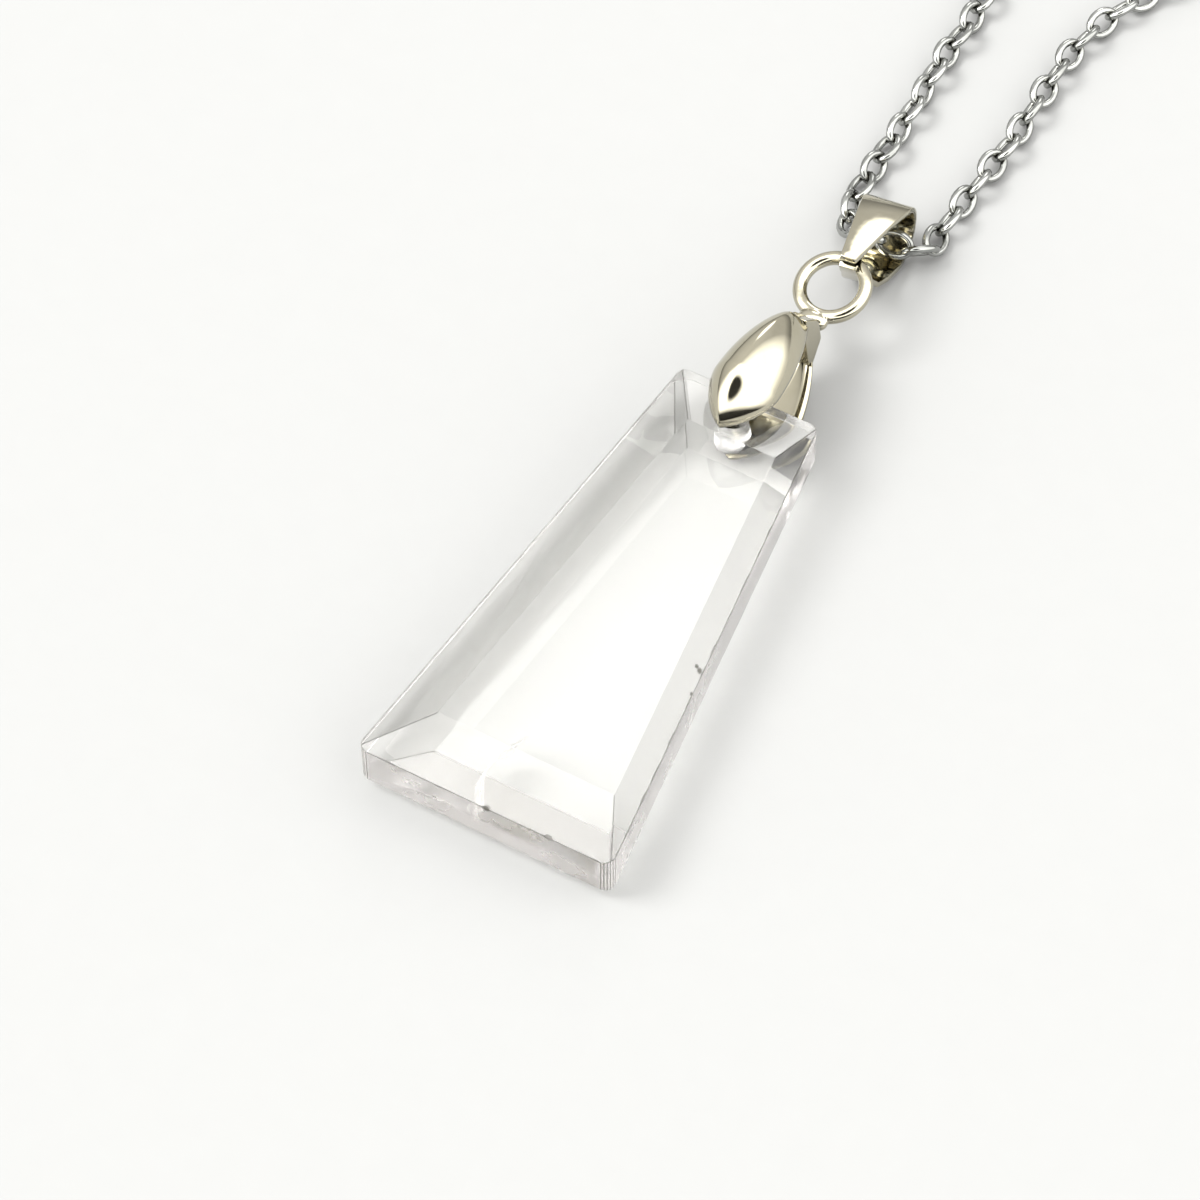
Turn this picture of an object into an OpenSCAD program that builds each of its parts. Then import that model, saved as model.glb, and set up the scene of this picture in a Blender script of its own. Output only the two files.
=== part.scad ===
// Gemstone necklace: a tapered, bevelled slab of clear stone on a pinch bail with a ring,
// a folded strip bail, and a fine chain laid out as one whole loop.
// Millimetres. +Y runs along the pendant from its foot to its head, +Z is up.

/* [Stone] */
// Length of the stone along its axis
stone_len = 38; // [30:0.5:46]
// Width across the foot, the wide end
foot_w = 19.4; // [15:0.1:24]
// Width across the head, the narrow end
head_w = 10.8; // [9:0.1:13]
// Thickness of the upright edge all round
girdle_t = 3.5; // [3:0.1:4]
// Height that each bevelled face rises above the upright edge
crown_h = 1.3; // [1:0.05:1.4]
// Width of the bevel along the foot
foot_bevel = 4.3; // [3:0.1:5]
// Width of the bevel along the head
head_bevel = 4.6; // [4.4:0.1:5]
// Width of the bevel along the left side
left_bevel = 3.4; // [2:0.1:4]
// Width of the bevel along the right side
right_bevel = 1.6; // [1:0.1:3]
// Radius that the upright corners are worn to
corner_r = 0.8; // [0.3:0.1:1.5]
// Diameter of the drilled hole
hole_d = 2.3; // [2.1:0.1:2.6]
// Distance from the head edge to the hole's centre
hole_inset = 2.7; // [2.5:0.1:3]

/* [Pinch bail] */
// Length of one leaf from its tip to the neck
leaf_len = 10.8; // [10.4:0.1:11.4]
// Greatest width of one leaf
leaf_w = 5.2; // [4.8:0.1:5.4]
// Thickness of the leaf's metal
leaf_t = 0.7; // [0.5:0.05:0.9]
// Width of a leaf where it meets the neck
neck_w = 2.1; // [1.8:0.1:2.6]
// Distance from the hole's centre to the leaf's tip
leaf_tip = 1.6; // [1.5:0.1:1.8]
// Diameter of the prongs that go into the hole
prong_d = 1.3; // [1:0.1:1.4]

/* [Ring] */
// Outside diameter of the ring
ring_d = 5.8; // [5.2:0.1:6.2]
// Thickness of the ring's wire
ring_wire = 1.04; // [0.8:0.02:1.1]
// Distance from the stone's hole to the ring's centre
ring_reach = 14.6; // [14.4:0.1:14.8]

/* [Snap bail] */
// Outside diameter of the fold that the chain runs through
fold_d = 4.9; // [4.7:0.1:5]
// Thickness of the strip
strip_t = 0.42; // [0.3:0.02:0.5]
// Width of the strip at the fold
fold_w = 3.7; // [3.4:0.1:4]
// Width of the strip at its two ends
end_w = 1.2; // [1:0.1:1.6]
// Length of each flap from the middle of the fold
flap_len = 7.9; // [7.8:0.1:8.1]

/* [Chain] */
// Width of the chain over its links
chain_d = 2.1; // [1.9:0.1:2.2]

/* [Clasp] */
// Length of the clasp's body without its eyes
clasp_len = 11; // [9:0.5:12]
// Width of the clasp's body
clasp_w = 3.8; // [3.4:0.1:4.2]
// Thickness of the clasp's body
clasp_t = 1.8; // [1.4:0.1:2]
// Outside diameter of each eye
eye_d = 2.5; // [2.2:0.1:2.6]
// Diameter of the hole in each eye
eye_hole = 1.3; // [1.1:0.1:1.4]

/* [Hidden] */
$fn = 64;

// Colours of the two plated finishes and of the stone
warm_plate = [0.80, 0.78, 0.70];
cool_steel = [0.74, 0.75, 0.76];
clear_stone = [0.93, 0.92, 0.92, 0.6];

// Where the stone lies: the edge of its lower face at the foot rests on the surface
stone_x = -0.75;
rest_y = -113.7;
stone_tilt = 1.7;

// Slant of the stone's long sides, and its half thickness
half_l = stone_len / 2;
slant = atan((foot_w - head_w) / 2 / stone_len);
half_t = girdle_t / 2 + crown_h;
hole_x = -0.1;
corner_steps = 6;
past = 1;

// How the pinch bail sits in the hole: turned a little each way by its slack
bail_at = [0.05, 0.12, 0.15];
bail_turn = [1.8, -6.6, -1.6];
leaf_at = [0.15, 0.1, 0];
neck_end = 1.6;
neck_back = 0.9;
neck_half = 2.4;
neck_in = 1.9;
neck_top = 0.9;

// Outline of both leaves: two arcs on each side, which meet where the leaf is widest
leaf_end = leaf_len - leaf_tip;
widest_at = 1.7;
upper_r = arc_radius(leaf_end - widest_at, (leaf_w - neck_w) / 2);
lower_r = arc_radius(leaf_tip + widest_at, leaf_w / 2);

// The front leaf is a full dome, as round across as its outline
front_lift = 3.1;
front_slope = 6.5;

// The back leaf is pressed flatter: curved along its length and across it about its own middle
leaf_mid = leaf_len / 2 - leaf_tip;
back_lift = 2.4;
back_slope = 8.5;
back_crown = 1.64;
long_r = 15;
cross_r = 3.2;

// The prongs reach from the leaves into the hole
prong_gap = 0.2;
front_prong = 4.5;
back_prong = 3.6;
prong_taper = 0.6;

// The ring tips up a little more than the leaves do
ring_r = (ring_d - ring_wire) / 2;
ring_pitch = 11;
solder_r = 0.9;

// Where the strip bail hangs between the ring and the surface
fold_at = [-0.45, -60.2, 2.6];
fold_turn = 4;
fold_dip = 27;
fold_roll = 3.5;
fold_r = fold_d / 2;
tip_gap = 1.05;
back_tip = -0.4;
front_line = [[0, fold_r], [-flap_len, 1.1]];
back_line = [
    [-flap_len, back_tip], [-7.1, -1.8], [-5.2, -2.3], [-3.4, -2.9], [-1.6, -2.8], [0, -fold_r]
];

// The chain's route, from the clasp down the right strand, through the fold and back
flat_z = 1.05;
route = [
    [7.9, 116.2, flat_z], [19.5, 113.4, flat_z], [31, 107.9, flat_z], [41, 99.6, flat_z],
    [48.6, 89.7, flat_z], [53.4, 78.4, flat_z], [55.2, 66.2, flat_z], [54, 54, flat_z],
    [50.2, 43.5, flat_z], [43.4, 32.5, flat_z], [36.4, 21.5, flat_z], [29.5, 10.2, flat_z],
    [22.6, -1, flat_z], [16.3, -12, flat_z], [10.2, -22, flat_z],
    [7, -27, flat_z], [4.8, -31.5, flat_z], [3.7, -36, flat_z], [3.5, -41, flat_z],
    [3.5, -46, flat_z], [3.2, -50.5, flat_z], [2.9, -54.5, flat_z], [2.8, -57.2, flat_z],
    [2.9, -58.6, 1.3], [2.2, -59.8, 1.8], [0.8, -60.2, 2.1], [-0.6, -60.3, 2.1], [-2, -60.4, 2],
    [-3.1, -59.8, 1.6], [-3.8, -58.5, 1.1], [-4.2, -56, flat_z],
    [-4.2, -52, flat_z], [-4.3, -47, flat_z], [-4.5, -42, flat_z], [-4.4, -37, flat_z],
    [-5, -32, flat_z], [-7.1, -27, flat_z], [-10.3, -22, flat_z], [-16.3, -12, flat_z],
    [-22.6, -1, flat_z], [-29.5, 10.2, flat_z], [-36.4, 21.5, flat_z], [-43.4, 32.5, flat_z],
    [-50.2, 43.5, flat_z], [-54, 54, flat_z], [-55.2, 66.2, flat_z], [-53.4, 78.4, flat_z],
    [-48.6, 89.7, flat_z], [-41, 99.6, flat_z], [-31, 107.9, flat_z], [-19.5, 113.4, flat_z],
    [-7.9, 116.2, flat_z]
];
long_gap = 8;
tube_sides = 8;

// The clasp's place, at the middle of the far end
clasp_y = 116.2;
clasp_z = 0.15;
clasp_wall = 1.1;
eye_t = 1.2;
eye_sunk = 0.4;
eye_x = clasp_len / 2 + eye_d / 2 - eye_sunk;

// Radius of the arc whose height over a half chord is known
function arc_radius(half_chord, height) = (half_chord * half_chord + height * height) / (2 * height);

// A point between p1 and p2 on the smooth curve through four points
function between(p0, p1, p2, p3, t) =
    0.5 * (2 * p1 + (p2 - p0) * t + (2 * p0 - 5 * p1 + 4 * p2 - p3) * t * t
        + (3 * p1 - p0 - 3 * p2 + p3) * t * t * t);

// The route with one more point in each long gap
function smooth(pts) = let (n = len(pts)) [
    for (i = [0 : n - 2], t = norm(pts[i + 1] - pts[i]) > long_gap ? [0, 0.5] : [0])
        between(pts[max(i - 1, 0)], pts[i], pts[i + 1], pts[min(i + 2, n - 1)], t),
    pts[n - 1]
];

function unit(v) = v / norm(v);

// One ring of the tube round a point, square to the direction
function ring_at(p, along, r, sides) =
    let (side = unit(cross(along, [0, 0, 1])), top = cross(side, along))
    [for (k = [0 : sides - 1]) let (a = 360 * (k + 0.5) / sides) p + r * (cos(a) * side + sin(a) * top)];

// A tube of radius r along the points
module tube(pts, r, sides) {
    n = len(pts);
    rings = [for (i = [0 : n - 1])
        ring_at(pts[i], unit(pts[min(i + 1, n - 1)] - pts[max(i - 1, 0)]), r, sides)];
    walls = [for (i = [0 : n - 2], k = [0 : sides - 1])
        let (a = i * sides, b = a + sides, next = (k + 1) % sides)
        [a + k, b + k, b + next, a + next]];
    near_cap = [for (k = [0 : sides - 1]) k];
    far_cap = [for (k = [sides - 1 : -1 : 0]) (n - 1) * sides + k];
    polyhedron(points = [for (ring = rings) each ring], faces = concat([near_cap, far_cap], walls));
}

// Moves a shape from the stone's own middle to where the stone lies
module on_stone() {
    translate([stone_x, rest_y, 0])
        rotate([stone_tilt, 0, 0])
            translate([0, half_l - foot_bevel, half_t])
                children();
}

// Rounded corner of the stone's outline, turning from one edge direction to the next
function corner(at, inward, from, turn) =
    let (half = turn / 2, reach = corner_r / cos(half), middle = at + reach * inward)
    [for (k = [0 : corner_steps]) let (a = from + turn * k / corner_steps)
        middle + corner_r * [cos(a), sin(a)]];

// Outline of the stone seen from above, with its four worn corners
module stone_outline() {
    foot_turn = 90 + slant;
    head_turn = 90 - slant;
    foot_in = [cos(foot_turn / 2 - slant), sin(foot_turn / 2 - slant)];
    head_in = [cos(head_turn / 2 + slant), sin(head_turn / 2 + slant)];
    polygon(concat(
        corner([-foot_w / 2, -half_l], foot_in, 180 - slant, foot_turn),
        corner([foot_w / 2, -half_l], [-foot_in[0], foot_in[1]], 270, foot_turn),
        corner([head_w / 2, half_l], [-head_in[0], -head_in[1]], slant, head_turn),
        corner([-head_w / 2, half_l], [head_in[0], -head_in[1]], 90, head_turn)
    ));
}

// All that lies inside the two bevels of one edge; the edge runs through at, and turn points inwards
module inside_bevel(at, turn, bevel) {
    rise = crown_h / bevel;
    translate(at)
        rotate([90, 0, turn])
            linear_extrude(height = 3 * stone_len, center = true)
                polygon([
                    [-girdle_t / 2 / rise, 0],
                    [bevel + past / rise, -half_t - past], [2 * stone_len, -half_t - past],
                    [2 * stone_len, half_t + past], [bevel + past / rise, half_t + past]
                ]);
}

module stone() {
    color(clear_stone)
        on_stone()
            difference() {
                intersection() {
                    translate([0, 0, -half_t])
                        linear_extrude(height = 2 * half_t)
                            stone_outline();
                    inside_bevel([-foot_w / 2, -half_l, 0], -slant, left_bevel);
                    inside_bevel([foot_w / 2, -half_l, 0], 180 + slant, right_bevel);
                    inside_bevel([0, -half_l, 0], 90, foot_bevel);
                    inside_bevel([0, half_l, 0], -90, head_bevel);
                }
                translate([hole_x, half_l - hole_inset, -half_t - past])
                    cylinder(h = 2 * (half_t + past), d = hole_d);
            }
}

// Right half of a leaf's outline, a drop with a blunt tip below and a narrow neck above
module half_outline(inset) {
    translate([0, widest_at]) {
        intersection() {
            translate([leaf_w / 2 - upper_r, 0])
                circle(upper_r - inset);
            square([leaf_w, leaf_end - widest_at]);
        }
        intersection() {
            translate([leaf_w / 2 - lower_r, 0])
                circle(lower_r - inset);
            translate([0, -leaf_len])
                square([leaf_w, leaf_len]);
        }
    }
}

// The drop that the half outline makes when it is turned about the leaf's long axis
module drop(inset) {
    rotate([-90, 0, 0])
        rotate_extrude()
            half_outline(inset);
}

module front_leaf() {
    translate([0, 0, front_lift])
        rotate([-front_slope, 0, 0])
            difference() {
                intersection() {
                    drop(0);
                    translate([-leaf_w, -leaf_len, 0])
                        cube([2 * leaf_w, 2 * leaf_len, leaf_w]);
                }
                drop(leaf_t);
            }
}

// The curved face of the back leaf, as the top of a ring lying on its side
module back_curve(r) {
    translate([0, 0, back_crown - long_r])
        rotate([0, 90, 0])
            rotate_extrude()
                translate([long_r - cross_r, 0])
                    circle(r);
}

module back_leaf() {
    translate([0, leaf_mid, back_lift])
        rotate([-back_slope, 0, 0])
            difference() {
                intersection() {
                    translate([0, -leaf_mid, 0])
                        linear_extrude(height = back_crown + past)
                            for (side = [0, 1])
                                mirror([side, 0])
                                    half_outline(0);
                    back_curve(cross_r);
                }
                back_curve(cross_r - leaf_t);
            }
}

module prong(top) {
    translate([0, 0, prong_gap])
        cylinder(h = prong_taper, d1 = prong_d / 2, d2 = prong_d);
    translate([0, 0, prong_gap + prong_taper])
        cylinder(h = top - prong_gap - prong_taper, d = prong_d);
}

// The block that joins the two leaves and carries the ring
module neck() {
    rotate([90, 0, 90])
        translate([0, 0, -neck_w / 2])
            linear_extrude(height = neck_w)
                polygon([
                    [leaf_end - neck_back, -neck_in], [leaf_end, -neck_half],
                    [leaf_end + neck_end, -neck_top], [leaf_end + neck_end, neck_top],
                    [leaf_end, neck_half], [leaf_end - neck_back, neck_in]
                ]);
}

module pinch_bail() {
    color(warm_plate)
        on_stone()
            translate([hole_x, half_l - hole_inset, 0] + bail_at)
                rotate(bail_turn) {
                    prong(front_prong);
                    translate(leaf_at) {
                        front_leaf();
                        neck();
                    }
                    mirror([0, 0, 1]) {
                        prong(back_prong);
                        translate(leaf_at)
                            back_leaf();
                    }
                    translate([0, ring_reach, 0])
                        rotate([ring_pitch, 0, 0]) {
                            rotate_extrude()
                                translate([ring_r, 0])
                                    circle(d = ring_wire);
                            translate([0, -ring_r - ring_wire / 2, 0])
                                sphere(solder_r);
                        }
                }
}

// A line of points moved sideways by d, to the right of its own direction
function beside(line, d) = let (n = len(line)) [
    for (i = [0 : n - 1])
        let (along = unit(line[min(i + 1, n - 1)] - line[max(i - 1, 0)]))
        line[i] + d * [along[1], -along[0]]
];

// Side view of the folded strip without the metal of thickness inset
module fold_side(inset) {
    circle(fold_r - inset);
    polygon(concat(beside(front_line, -inset), beside(back_line, -inset)));
}

module snap_bail() {
    color(warm_plate)
        translate(fold_at)
            rotate([0, 0, fold_turn])
                rotate([-fold_dip, 0, 0])
                    rotate([0, -fold_roll, 0])
                        intersection() {
                            rotate([90, 0, 90])
                                translate([0, 0, -fold_w])
                                    linear_extrude(height = 2 * fold_w)
                                        difference() {
                                            fold_side(0);
                                            fold_side(strip_t);
                                            translate([-flap_len - past, back_tip])
                                                square([2 * past, tip_gap]);
                                        }
                            translate([0, 0, -fold_r - past])
                                linear_extrude(height = 2 * (fold_r + past))
                                    polygon([
                                        [-fold_w / 2, fold_r + past], [-fold_w / 2, 0],
                                        [-end_w / 2, -flap_len], [end_w / 2, -flap_len],
                                        [fold_w / 2, 0], [fold_w / 2, fold_r + past]
                                    ]);
                        }
}

module chain() {
    color(cool_steel)
        tube(smooth(route), chain_d / 2, tube_sides);
}

// Flat shape with two round ends, length l and width w over all
module round_bar(l, w) {
    square([l - w, w], center = true);
    for (side = [-1, 1])
        translate([side * (l - w) / 2, 0])
            circle(d = w);
}

module clasp() {
    color(cool_steel)
        translate([0, clasp_y, clasp_z])
            difference() {
                union() {
                    linear_extrude(height = clasp_t)
                        round_bar(clasp_len, clasp_w);
                    for (side = [-1, 1])
                        translate([side * eye_x, 0, (clasp_t - eye_t) / 2])
                            cylinder(h = eye_t, d = eye_d);
                }
                translate([0, 0, -past])
                    linear_extrude(height = clasp_t + 2 * past)
                        round_bar(clasp_len - 2 * clasp_wall, clasp_w - 2 * clasp_wall);
                for (side = [-1, 1])
                    translate([side * eye_x, 0, -past])
                        cylinder(h = clasp_t + 2 * past, d = eye_hole);
            }
}

stone();
pinch_bail();
snap_bail();
chain();
clasp();
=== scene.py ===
import math
import random

import bmesh
import bpy
from mathutils import Matrix, Vector, noise


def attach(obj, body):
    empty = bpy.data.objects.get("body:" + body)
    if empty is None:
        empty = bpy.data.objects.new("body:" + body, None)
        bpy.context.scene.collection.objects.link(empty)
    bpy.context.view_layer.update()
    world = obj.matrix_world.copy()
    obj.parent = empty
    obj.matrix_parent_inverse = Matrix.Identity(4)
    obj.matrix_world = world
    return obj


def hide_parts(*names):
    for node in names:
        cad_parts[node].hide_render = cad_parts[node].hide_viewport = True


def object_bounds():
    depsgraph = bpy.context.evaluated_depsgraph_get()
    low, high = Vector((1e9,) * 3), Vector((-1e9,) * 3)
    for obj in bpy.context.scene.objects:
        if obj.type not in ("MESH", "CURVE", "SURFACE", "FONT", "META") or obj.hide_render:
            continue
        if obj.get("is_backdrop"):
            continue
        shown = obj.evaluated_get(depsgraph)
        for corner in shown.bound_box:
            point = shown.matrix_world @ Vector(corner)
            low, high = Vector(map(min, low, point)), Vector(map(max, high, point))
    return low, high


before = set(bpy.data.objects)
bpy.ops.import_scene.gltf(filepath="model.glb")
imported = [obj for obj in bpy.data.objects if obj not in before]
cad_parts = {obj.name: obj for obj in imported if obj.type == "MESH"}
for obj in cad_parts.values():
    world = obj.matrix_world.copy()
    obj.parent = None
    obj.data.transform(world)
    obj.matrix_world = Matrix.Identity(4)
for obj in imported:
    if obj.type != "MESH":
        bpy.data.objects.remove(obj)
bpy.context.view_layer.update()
scene = bpy.context.scene

# Camera
# A long lens stands at the foot end of the pendant, a little to its right, and looks
# steeply down on it, as for a close picture of a small thing on a table.
camera_at = Vector((0.08837, -0.27179, 0.28356))
camera_azimuth = math.radians(27.70)
camera_elevation = math.radians(55.13)
camera_roll = math.radians(1.26)
lens_mm = 150
sensor_mm = 36


def direction(azimuth, elevation):
    """Direction of a thing seen from the necklace: azimuth 0 is the foot side, 90 degrees the right."""
    flat = math.cos(elevation)
    return Vector((math.sin(azimuth) * flat, -math.cos(azimuth) * flat, math.sin(elevation)))


to_camera = direction(camera_azimuth, camera_elevation)
level = Vector((math.cos(camera_azimuth), math.sin(camera_azimuth), 0))
rise = to_camera.cross(level)
camera_right = level * math.cos(camera_roll) + rise * math.sin(camera_roll)
camera_up = rise * math.cos(camera_roll) - level * math.sin(camera_roll)
camera = bpy.data.objects.new("camera", bpy.data.cameras.new("camera"))
scene.collection.objects.link(camera)
camera.data.lens = lens_mm
camera.data.sensor_width = sensor_mm
camera.data.clip_start = 0.01
camera.data.clip_end = 20
turned = Matrix((camera_right, camera_up, to_camera)).transposed()
camera.matrix_world = Matrix.Translation(camera_at) @ turned.to_4x4()
scene.camera = camera

# Stone
# A tapered slab of clear quartz, sawn, ground flat and polished, with a bevel round both
# faces. Its edges are worn and chipped, and a hole is drilled near the head for the bail.
mm = 0.001
stone_len = 38
foot_w = 19.4
head_w = 10.8
girdle_t = 3.5
crown_h = 1.3
foot_bevel = 4.3
head_bevel = 4.6
left_bevel = 3.4
right_bevel = 1.6
corner_r = 0.8
corner_facets = 5
hole_d = 2.3
hole_inset = 2.7
hole_x = -0.1
edge_wear = 0.075
rim_step = 0.13
half_l = stone_len / 2
half_t = girdle_t / 2 + crown_h
slant = math.atan((foot_w - head_w) / 2 / stone_len)
stone_tilt = math.radians(1.7)
stone_place = (
    Matrix.Translation((-0.75, -113.7, 0))
    @ Matrix.Rotation(stone_tilt, 4, "X")
    @ Matrix.Translation((0, half_l - foot_bevel, half_t))
)


def new_mesh_object(name, mesh):
    """An object in the scene that holds what the bmesh has."""
    data = bpy.data.meshes.new(name)
    mesh.to_mesh(data)
    mesh.free()
    made = bpy.data.objects.new(name, data)
    scene.collection.objects.link(made)
    return made


def bake_modifiers(made):
    """Makes what the modifiers give the object's own mesh."""
    graph = bpy.context.evaluated_depsgraph_get()
    baked = bpy.data.meshes.new_from_object(made.evaluated_get(graph))
    made.modifiers.clear()
    made.data = baked


def finish_piece(made, place, finishes, node=None):
    """Moves a mesh made in millimetres to its place in metres, and gives it its finishes and frame calls."""
    made.data.transform(Matrix.Scale(mm, 4) @ place)
    slots = made.data.materials
    for k, finish in enumerate(finishes):
        if k < len(slots):
            slots[k] = finish
        else:
            slots.append(finish)
    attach(made, "root")
    if node:
        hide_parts(node)


def slice_off(mesh, at, outward):
    """Cuts away all that lies outside a plane, and closes the cut."""
    geometry = mesh.verts[:] + mesh.edges[:] + mesh.faces[:]
    cut = bmesh.ops.bisect_plane(
        mesh, geom=geometry, dist=1e-6, plane_co=at, plane_no=outward, clear_outer=True
    )
    rim = [e for e in cut["geom_cut"] if isinstance(e, bmesh.types.BMEdge)]
    if rim:
        bmesh.ops.edgeloop_fill(mesh, edges=rim)


# Each side of the outline: a point on it, the angle its face looks to, and its bevel's width
sides = [
    (Vector((0, -half_l, 0)), math.radians(270), foot_bevel),
    (Vector((foot_w / 2, -half_l, 0)), slant, right_bevel),
    (Vector((0, half_l, 0)), math.radians(90), head_bevel),
    (Vector((-foot_w / 2, -half_l, 0)), math.pi - slant, left_bevel),
]
corners = [
    Vector((foot_w / 2, -half_l, 0)),
    Vector((head_w / 2, half_l, 0)),
    Vector((-head_w / 2, half_l, 0)),
    Vector((-foot_w / 2, -half_l, 0)),
]

slab = bmesh.new()
bmesh.ops.create_cube(slab, size=4 * stone_len)
for face in (1, -1):
    slice_off(slab, Vector((0, 0, face * half_t)), Vector((0, 0, face)))
for at, look, bevel in sides:
    outward = Vector((math.cos(look), math.sin(look), 0))
    slice_off(slab, at, outward)
    for face in (1, -1):
        lip = at + Vector((0, 0, face * girdle_t / 2))
        slice_off(slab, lip, (outward * crown_h + Vector((0, 0, face * bevel))).normalized())
for i, corner in enumerate(corners):
    start = sides[i][1]
    turn = (sides[(i + 1) % 4][1] - start) % (2 * math.pi)
    inward = -Vector((math.cos(start + turn / 2), math.sin(start + turn / 2), 0))
    middle = corner + inward * corner_r / math.cos(turn / 2)
    for k in range(1, corner_facets + 1):
        look = start + turn * k / (corner_facets + 1)
        outward = Vector((math.cos(look), math.sin(look), 0))
        slice_off(slab, middle + outward * corner_r, outward)
shortest_rim = 3
for face in (1, -1):
    level_z = face * girdle_t / 2
    rim = [
        e for e in slab.edges
        if e.calc_length() > shortest_rim and all(abs(v.co.z - level_z) < 1e-4 for v in e.verts)
    ]
    for e in rim:
        cuts = round(e.calc_length() / rim_step)
        bmesh.ops.subdivide_edges(slab, edges=[e], cuts=cuts)
sharp_edges = [e for e in slab.edges if e.calc_face_angle(0) > math.radians(14)]
bmesh.ops.bevel(
    slab, geom=sharp_edges, offset=edge_wear, segments=2, profile=0.5, affect="EDGES", clamp_overlap=True
)

# Chips along the two rims of the girdle: the worn edge widens and dips at each of them.
# Each row names the side, the face, how many chips it has and how deep they go.
# Two deeper notches break the front rim of the foot, at their runs from its left corner.
chips = random.Random(11)
chip_plan = [
    (0, 1, 40, 0.6), (1, 1, 80, 1.6), (3, 1, 80, 0.8), (2, 1, 14, 0.6),
    (0, -1, 22, 0.4), (1, -1, 50, 1.4), (3, -1, 30, 0.6),
]
notches = [(10, 0.22, 2.5), (14.7, 0.3, 4)]
for side, face, count, growth in chip_plan:
    a, b = corners[side - 1], corners[side]
    start = a + Vector((0, 0, face * girdle_t / 2))
    run = (b - a).normalized()
    length = (b - a).length
    bites = []
    for k in range(count):
        middle = length * (k + chips.uniform(0.1, 0.9)) / count
        bites.append((middle, chips.uniform(0.12, 0.6), growth * chips.random() ** 2.5))
    if (side, face) == (0, 1):
        bites += notches
    for v in slab.verts:
        along = (v.co - start).dot(run)
        foot_of = start + run * along
        out = v.co - foot_of
        if not 1 < along < length - 1 or out.length > 2 * edge_wear:
            continue
        grown = 1 + 0.25 * chips.random()
        for middle, reach, depth in bites:
            part = (along - middle) / reach
            if abs(part) < 1:
                grown += depth * math.sqrt(1 - part * part)
        v.co = foot_of + out * grown
slab.normal_update()

# The finishes go by face: the tables, small broken faces, the girdle, the bevels, the foot's
# back bevel and the right front bevel, in the order of the finishes below
table_face, broken_face, girdle_face, bevel_face, back_foot_face, right_face = range(6)
for f in slab.faces:
    if f.calc_area() < 0.25:
        f.material_index = broken_face
    elif abs(f.normal.z) < 0.2:
        f.material_index = girdle_face
    elif -0.99 < f.normal.z < 0 and f.normal.y < -0.2:
        f.material_index = back_foot_face
    elif 0 < f.normal.z < 0.99 and f.normal.x > 0.4:
        f.material_index = right_face
    elif abs(f.normal.z) < 0.99:
        f.material_index = bevel_face
    else:
        f.material_index = table_face
stone = new_mesh_object("stone_slab", slab)


def carve(made, tools):
    """Cuts the tools, one mesh object, out of a piece; the cut faces keep the tools' material."""
    step = made.modifiers.new("carve", "BOOLEAN")
    step.operation = "DIFFERENCE"
    step.solver = "EXACT"
    step.object = tools
    bake_modifiers(made)
    bpy.data.objects.remove(tools)


# The drill leaves a frosted wall, a little wider at its two mouths
mouth_wear = 0.12
drill = bmesh.new()
mouth_r = hole_d / 2 + mouth_wear
bore = [(mouth_r, -half_t - 1), (mouth_r, -half_t), (hole_d / 2, -half_t + mouth_wear)]
bore += [(r, -z) for r, z in reversed(bore)]
bore_sides = 40
rings = []
for r, z in bore:
    ring = []
    for k in range(bore_sides):
        a = 2 * math.pi * k / bore_sides
        ring.append(drill.verts.new((hole_x + r * math.cos(a), half_l - hole_inset + r * math.sin(a), z)))
    rings.append(ring)
for low, high in zip(rings, rings[1:]):
    for k in range(bore_sides):
        n = (k + 1) % bore_sides
        drill.faces.new((low[k], low[n], high[n], high[k]))
drill.faces.new(rings[0][::-1])
drill.faces.new(rings[-1])
for f in drill.faces:
    f.material_index = broken_face
    f.smooth = True
drill_tool = new_mesh_object("drill", drill)
for mark in ("table_mark", "broken_mark", "girdle_mark", "bevel_mark", "back_foot_mark", "right_mark"):
    stone.data.materials.append(bpy.data.materials.new(mark))
drill_tool.data.materials.append(None)
drill_tool.data.materials.append(stone.data.materials[broken_face])
carve(stone, drill_tool)


def noise_of(nodes, scale, detail, roughness, stretch=None):
    """A noise texture that reads the object's own coordinates, stretched if need be; gives its value."""
    tree = nodes.id_data
    where = nodes.new("ShaderNodeTexCoord").outputs["Object"]
    if stretch:
        mapping = nodes.new("ShaderNodeMapping")
        mapping.inputs["Scale"].default_value = stretch
        tree.links.new(where, mapping.inputs["Vector"])
        where = mapping.outputs["Vector"]
    texture = nodes.new("ShaderNodeTexNoise")
    texture.inputs["Scale"].default_value = scale
    texture.inputs["Detail"].default_value = detail
    texture.inputs["Roughness"].default_value = roughness
    tree.links.new(where, texture.inputs["Vector"])
    return texture.outputs["Fac"]


def remap(tree, source, low, high, to_low, to_high):
    """Maps one range of a texture's values to another, clamped."""
    node = tree.nodes.new("ShaderNodeMapRange")
    node.inputs["From Min"].default_value = low
    node.inputs["From Max"].default_value = high
    node.inputs["To Min"].default_value = to_low
    node.inputs["To Max"].default_value = to_high
    tree.links.new(source, node.inputs["Value"])
    return node.outputs["Result"]


def mixed(tree, factor, first, second):
    """A blend of two colours by a factor between 0 and 1; each is a constant or another node's output."""
    node = tree.nodes.new("ShaderNodeMix")
    node.data_type = "RGBA"
    for side, colour in (("A", first), ("B", second)):
        if isinstance(colour, tuple):
            node.inputs[side].default_value = (*colour, 1)
        else:
            tree.links.new(colour, node.inputs[side])
    tree.links.new(factor, node.inputs["Factor"])
    return node.outputs["Result"]


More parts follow.
